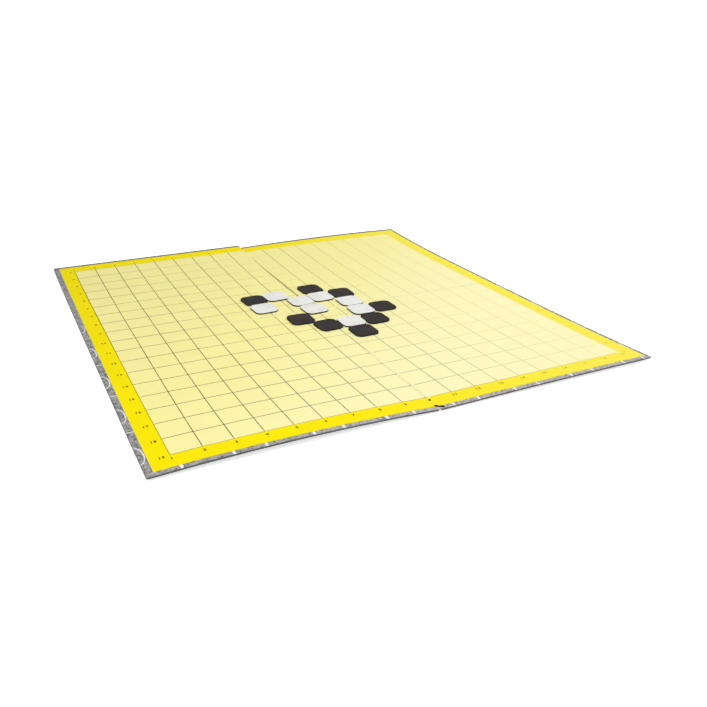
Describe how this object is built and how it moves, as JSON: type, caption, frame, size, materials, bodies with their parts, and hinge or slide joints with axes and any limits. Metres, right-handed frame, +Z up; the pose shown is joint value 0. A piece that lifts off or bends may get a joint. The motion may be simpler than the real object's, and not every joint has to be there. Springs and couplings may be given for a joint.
{
  "type": "baduk board set",
  "caption": "Square folding card board with a printed net of lines and numbered edges, with flat magnetic black and white stones lying on it.",
  "frame": {"origin": "middle of the board, on the surface that the board lies on", "axes": "+X to the right along the front edge, +Y from the front edge to the back edge, +Z up out of the printed face"},
  "size_m": [0.42, 0.42, 0.0062],
  "materials": {
    "grey_wrap": "matte",
    "yellow_paper": "satin",
    "field_ink": "satin",
    "line_ink": "satin",
    "greyboard": "matte",
    "steel_sheet": "satin",
    "black_rubber": "matte",
    "magnet_rubber": "matte",
    "white_film": "satin"
  },
  "bodies": {
    "root": {"back_wrap": "grey_wrap", "face_sheet": "yellow_paper", "printed_field": "field_ink", "printed_lines": "line_ink", "greyboard_front_left": "greyboard", "steel_front_left": "steel_sheet", "greyboard_front_right": "greyboard", "steel_front_right": "steel_sheet", "greyboard_back_left": "greyboard", "steel_back_left": "steel_sheet", "greyboard_back_right": "greyboard", "steel_back_right": "steel_sheet", "black_stone_1": "black_rubber", "white_stone_1_magnet": "magnet_rubber", "white_stone_1_film": "white_film", "black_stone_2": "black_rubber", "white_stone_2_magnet": "magnet_rubber", "white_stone_2_film": "white_film", "black_stone_3": "black_rubber", "white_stone_3_magnet": "magnet_rubber", "white_stone_3_film": "white_film", "black_stone_4": "black_rubber", "white_stone_4_magnet": "magnet_rubber", "white_stone_4_film": "white_film", "black_stone_5": "black_rubber", "white_stone_5_magnet": "magnet_rubber", "white_stone_5_film": "white_film", "black_stone_6": "black_rubber", "white_stone_6_magnet": "magnet_rubber", "white_stone_6_film": "white_film", "black_stone_7": "black_rubber", "white_stone_7_magnet": "magnet_rubber", "white_stone_7_film": "white_film", "black_stone_8": "black_rubber", "white_stone_8_magnet": "magnet_rubber", "white_stone_8_film": "white_film"}
  },
  "joints": []
}
